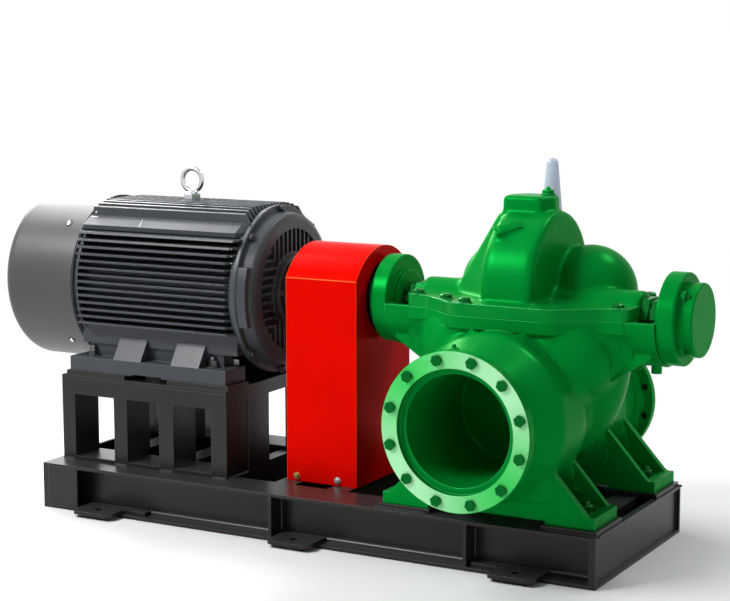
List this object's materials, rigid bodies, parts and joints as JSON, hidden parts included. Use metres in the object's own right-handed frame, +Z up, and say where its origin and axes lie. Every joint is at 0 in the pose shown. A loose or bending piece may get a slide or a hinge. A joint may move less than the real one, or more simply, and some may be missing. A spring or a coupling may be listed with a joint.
{
  "type": "horizontal split case pump set",
  "caption": "Horizontal split case centrifugal pump driven by an electric motor through a guarded coupling, on a welded steel base frame with foundation lugs.",
  "frame": {"origin": "on the floor below the middle of the base frame, at the centre of the foundation lug pattern", "axes": "+X along the shaft from motor to pump, -Y out of the suction flange, +Z up"},
  "size_m": [2.263, 1.019, 1.132],
  "materials": {
    "base_black": "satin black paint on steel",
    "motor_grey": "satin dark grey paint on cast iron",
    "cover_grey": "silver grey paint on pressed steel",
    "fan_plastic": "black moulded plastic",
    "bright_steel": "ground steel",
    "bright_chrome": "bright zinc plating",
    "bare_iron": "machined cast iron",
    "guard_red": "gloss red paint on sheet steel",
    "pump_green": "gloss green paint on cast iron",
    "clear_tube": "milky clear plastic"
  },
  "bodies": {
    "root": {"base_beam_front": "base_black", "base_beam_rear": "base_black", "base_end_left": "base_black", "base_end_right": "base_black", "base_cross_members": "base_black", "base_corner_plates": "base_black", "base_stiffeners": "base_black", "anchor_lugs": "base_black", "pump_pads": "base_black", "stand_front_frame": "base_black", "stand_rear_frame": "base_black", "stand_end_left": "base_black", "stand_end_right": "base_black", "stand_top_plate": "base_black", "packing_plates": "base_black", "motor_frame": "motor_grey", "motor_foot_front": "motor_grey", "motor_foot_rear": "motor_grey", "motor_fan_shield": "motor_grey", "motor_drive_shield": "motor_grey", "motor_bearing_cap": "motor_grey", "fan_cover": "cover_grey", "cooling_fan": "fan_plastic", "motor_shaft": "bright_steel", "lifting_eye": "bright_chrome", "terminal_box": "motor_grey", "terminal_box_lid": "motor_grey", "coupling_half_motor": "bare_iron", "coupling_half_pump": "bare_iron", "coupling_pins": "bright_steel", "coupling_guard": "guard_red", "pump_shaft": "bright_steel", "lower_casing": "pump_green", "upper_casing": "pump_green", "gland_drive_side": "pump_green", "gland_free_side": "pump_green", "bearing_housing_drive": "pump_green", "bearing_housing_free": "pump_green", "bearing_cover_drive": "pump_green", "bearing_cap_free": "pump_green", "priming_tube": "clear_tube"}
  },
  "joints": []
}
